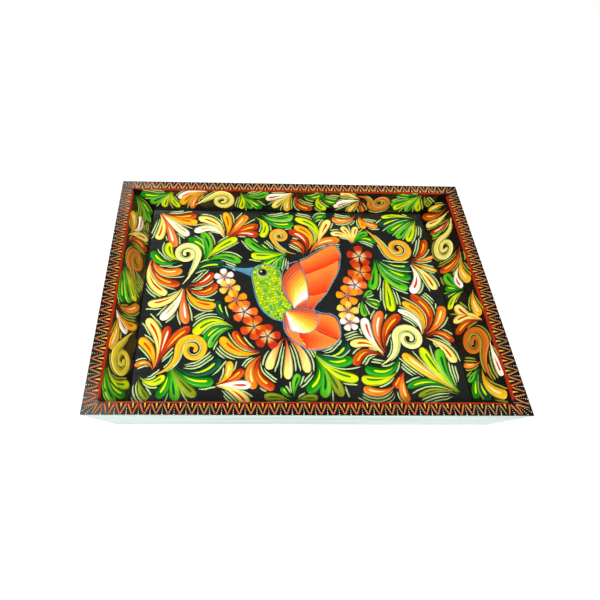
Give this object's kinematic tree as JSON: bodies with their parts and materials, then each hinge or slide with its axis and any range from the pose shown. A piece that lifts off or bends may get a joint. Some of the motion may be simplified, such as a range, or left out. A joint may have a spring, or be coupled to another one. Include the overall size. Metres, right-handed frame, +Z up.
{
  "type": "painted wooden serving tray",
  "caption": "Low rectangular wooden tray with splayed ends and a flat rim, black lacquered inside and painted with folk-style flowers, leaves and a bird.",
  "frame": {"origin": "middle of the underside, on the surface that the tray stands on", "axes": "+X along the tray's length to the right, +Y to the back, +Z up"},
  "size_m": [0.4, 0.28, 0.04],
  "materials": {
    "lacquered_floor": "black lacquer ground under the painting, clear gloss varnish; pale painted underside",
    "painted_sides": "thin mint-white paint outside, black lacquer on the rim and inside, clear gloss varnish",
    "nails": "plain round wire nails, heads painted over"
  },
  "bodies": {
    "root": {"floor_board": "lacquered_floor", "front_side": "painted_sides", "back_side": "painted_sides", "left_end": "painted_sides", "right_end": "painted_sides", "corner_nail_front_left_1": "nails", "corner_nail_front_left_2": "nails", "corner_nail_front_right_1": "nails", "corner_nail_front_right_2": "nails", "corner_nail_back_left_1": "nails", "corner_nail_back_left_2": "nails", "corner_nail_back_right_1": "nails", "corner_nail_back_right_2": "nails", "floor_nail_front_1": "nails", "floor_nail_front_2": "nails", "floor_nail_front_3": "nails", "floor_nail_front_4": "nails", "floor_nail_back_1": "nails", "floor_nail_back_2": "nails", "floor_nail_back_3": "nails", "floor_nail_back_4": "nails", "floor_nail_left_1": "nails", "floor_nail_left_2": "nails", "floor_nail_left_3": "nails", "floor_nail_right_1": "nails", "floor_nail_right_2": "nails", "floor_nail_right_3": "nails"}
  },
  "joints": []
}
